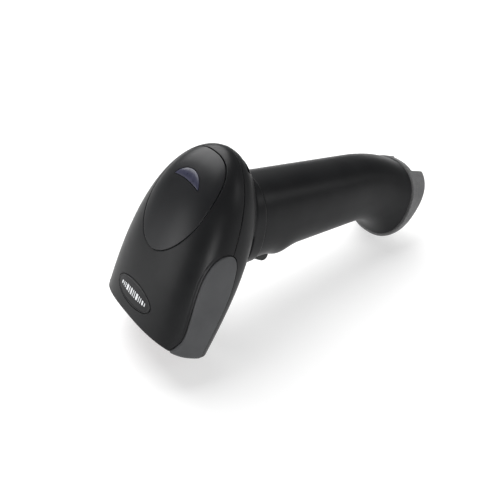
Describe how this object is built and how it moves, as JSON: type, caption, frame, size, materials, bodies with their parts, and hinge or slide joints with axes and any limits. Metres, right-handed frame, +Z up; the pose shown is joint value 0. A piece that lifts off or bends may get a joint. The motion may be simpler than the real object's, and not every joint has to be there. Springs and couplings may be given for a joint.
{
  "type": "handheld barcode scanner",
  "caption": "Corded pistol-grip barcode reader: rounded head with reading window and side bumpers, tapered handle with a sprung trigger and a cable socket in its foot.",
  "frame": {"origin": "middle of the footprint, on the table, with the reader lying on its nose and the toe of its handle", "axes": "+Y from the nose to the foot of the handle, +Z up, X across"},
  "size_m": [0.0656, 0.1862, 0.0913],
  "materials": {
    "black_shell": "satin moulded ABS with a fine spark texture",
    "panel_black": "satin, a little smoother than the shell",
    "lens_smoke": "smoked violet light pipe",
    "badge_black": "gloss black with plain silver bars",
    "bumper_rubber": "matte dark grey rubber",
    "trigger_grey": "satin dark grey",
    "cap_grey": "matte mid grey, finely speckled",
    "window_glass": "clear red reading window",
    "seal_rubber": "matte",
    "board_green": "solder mask",
    "chip_black": "moulded",
    "lamp_white": "moulded",
    "metal_dark": "dark cast",
    "steel": "plated",
    "lens_glass": "coated lens"
  },
  "bodies": {
    "scanner_body": {"badge": "badge_black", "board_connector": "lamp_white", "board_screw_left": "steel", "board_screw_right": "steel", "bumper_left": "bumper_rubber", "bumper_right": "bumper_rubber", "cable_socket": "chip_black", "cover_screw_left": "steel", "cover_screw_right": "steel", "end_cap": "cap_grey", "end_cap_screw": "steel", "engine_chassis": "metal_dark", "engine_lens": "lens_glass", "engine_screw_left": "steel", "engine_screw_right": "steel", "handle_grip": "black_shell", "internal_cable": "seal_rubber", "lamp_1": "lamp_white", "lamp_2": "lamp_white", "lamp_3": "lamp_white", "lamp_4": "lamp_white", "lamp_board": "board_green", "lens_barrel": "metal_dark", "lower_housing": "black_shell", "main_board": "board_green", "memory_chip": "chip_black", "processor": "chip_black", "sensor_board": "board_green", "socket_board": "board_green", "sounder": "chip_black", "status_led": "lamp_white", "status_lens": "lens_smoke", "switch_board": "board_green", "top_cover": "black_shell", "top_panel": "panel_black", "trigger_pin": "steel", "trigger_spring": "steel", "trigger_switch": "chip_black", "window": "window_glass", "window_frame": "black_shell", "window_gasket": "seal_rubber"},
    "trigger": {"trigger": "trigger_grey"},
    "plunger": {"switch_plunger": "lamp_white"}
  },
  "joints": [
    {"name": "trigger_pull", "type": "hinge", "parent": "scanner_body", "child": "trigger", "pos_m": [0, -0.03525, 0.03863], "axis": [1, 0, 0], "range_deg": [0, 7], "stiffness_Nm_per_rad": 0.35, "springref_deg": -3.44, "deforming": ["trigger_spring"]},
    {"name": "plunger_press", "type": "slide", "parent": "scanner_body", "child": "plunger", "axis": [0, 0.1632, 0.9866], "range_m": [0, 0.00184]}
  ],
  "couplings": [
    {"joint": "plunger_press", "follows": "trigger_pull", "m_per_rad": 0.015}
  ]
}
